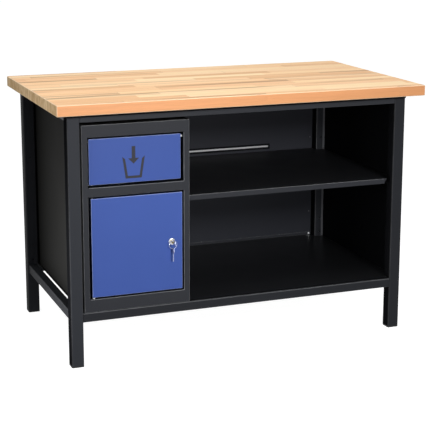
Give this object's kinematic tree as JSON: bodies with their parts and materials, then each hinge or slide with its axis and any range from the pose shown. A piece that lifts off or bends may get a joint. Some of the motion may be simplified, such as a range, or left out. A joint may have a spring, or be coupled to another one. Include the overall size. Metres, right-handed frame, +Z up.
{
  "type": "workbench with waste cabinet",
  "caption": "Steel tube workbench with a beech top, a lockable cabinet with a swing-in waste flap above its door, and open shelves beside it.",
  "frame": {"origin": "on the floor, under the middle of the worktop", "axes": "+X along the worktop to the right, +Y to the back, +Z up; the door and flap face -Y"},
  "size_m": [1.25, 0.7, 0.85],
  "materials": {
    "beech": "oiled, edge-glued staves",
    "black_enamel": "fine satin powder coat",
    "blue_enamel": "fine satin powder coat",
    "foot_plastic": "moulded",
    "zinc": "bright zinc plate",
    "galvanised_bin": "grey coated sheet",
    "nylon": "moulded",
    "chrome": "polished",
    "key_steel": "nickel plate",
    "brass": "turned"
  },
  "bodies": {
    "bench": {"worktop": "beech", "post_front_left": "black_enamel", "post_front_right": "black_enamel", "post_rear_left": "black_enamel", "post_rear_right": "black_enamel", "top_rail_front": "black_enamel", "top_rail_rear": "black_enamel", "top_rail_left": "black_enamel", "top_rail_right": "black_enamel", "bottom_rail_front": "black_enamel", "bottom_rail_rear": "black_enamel", "bottom_rail_left": "black_enamel", "bottom_rail_right": "black_enamel", "gusset_front_left": "black_enamel", "gusset_front_right": "black_enamel", "gusset_rear_left": "black_enamel", "gusset_rear_right": "black_enamel", "right_side_panel": "black_enamel", "back_panel": "black_enamel", "bottom_shelf": "black_enamel", "middle_shelf": "black_enamel", "shelf_cleat_left": "black_enamel", "shelf_cleat_right": "black_enamel", "cabinet_left_wall": "black_enamel", "cabinet_right_wall": "black_enamel", "cabinet_back": "black_enamel", "cabinet_floor": "black_enamel", "cabinet_top": "black_enamel", "cabinet_front_frame": "black_enamel", "foot_cap_front_left": "foot_plastic", "foot_cap_front_right": "foot_plastic", "foot_cap_rear_left": "foot_plastic", "foot_cap_rear_right": "foot_plastic", "worktop_screw_front_left": "zinc", "worktop_screw_front_right": "zinc", "worktop_screw_rear_left": "zinc", "worktop_screw_rear_right": "zinc", "waste_bin": "galvanised_bin", "door_bush_bottom": "nylon", "door_bush_top": "nylon", "flap_bush_left": "nylon", "flap_bush_right": "nylon"},
    "door": {"door_panel": "blue_enamel", "door_stiffener": "blue_enamel", "door_pin_bottom": "zinc", "door_pin_top": "zinc", "lock_body": "chrome", "lock_nut": "zinc"},
    "lock": {"lock_plug": "brass", "lock_cam": "zinc", "lock_cam_screw": "zinc", "lock_key": "key_steel"},
    "ring": {"key_ring": "chrome"},
    "spare": {"spare_key": "key_steel"},
    "flap": {"waste_flap": "blue_enamel", "flap_pin_left": "zinc", "flap_pin_right": "zinc"}
  },
  "joints": [
    {"name": "door_swing", "type": "hinge", "parent": "bench", "child": "door", "pos_m": [-0.5035, -0.283, 0.38338], "axis": [0, 0, -1], "range_deg": [0, 110]},
    {"name": "lock_turn", "type": "hinge", "parent": "door", "child": "lock", "pos_m": [-0.2455, -0.292, 0.38338], "axis": [0, -1, 0], "range_deg": [0, 90]},
    {"name": "ring_swing", "type": "hinge", "parent": "door", "child": "ring", "pos_m": [-0.2455, -0.3045, 0.38848], "axis": [-1, 0, 0], "range_deg": [0, 30]},
    {"name": "spare_key_swing", "type": "hinge", "parent": "ring", "child": "spare", "pos_m": [-0.2455, -0.3045, 0.36247], "axis": [-1, 0, 0], "range_deg": [0, 40]},
    {"name": "flap_swing", "type": "hinge", "parent": "bench", "child": "flap", "pos_m": [-0.3605, -0.274, 0.721], "axis": [1, 0, 0], "range_deg": [0, 70]}
  ]
}
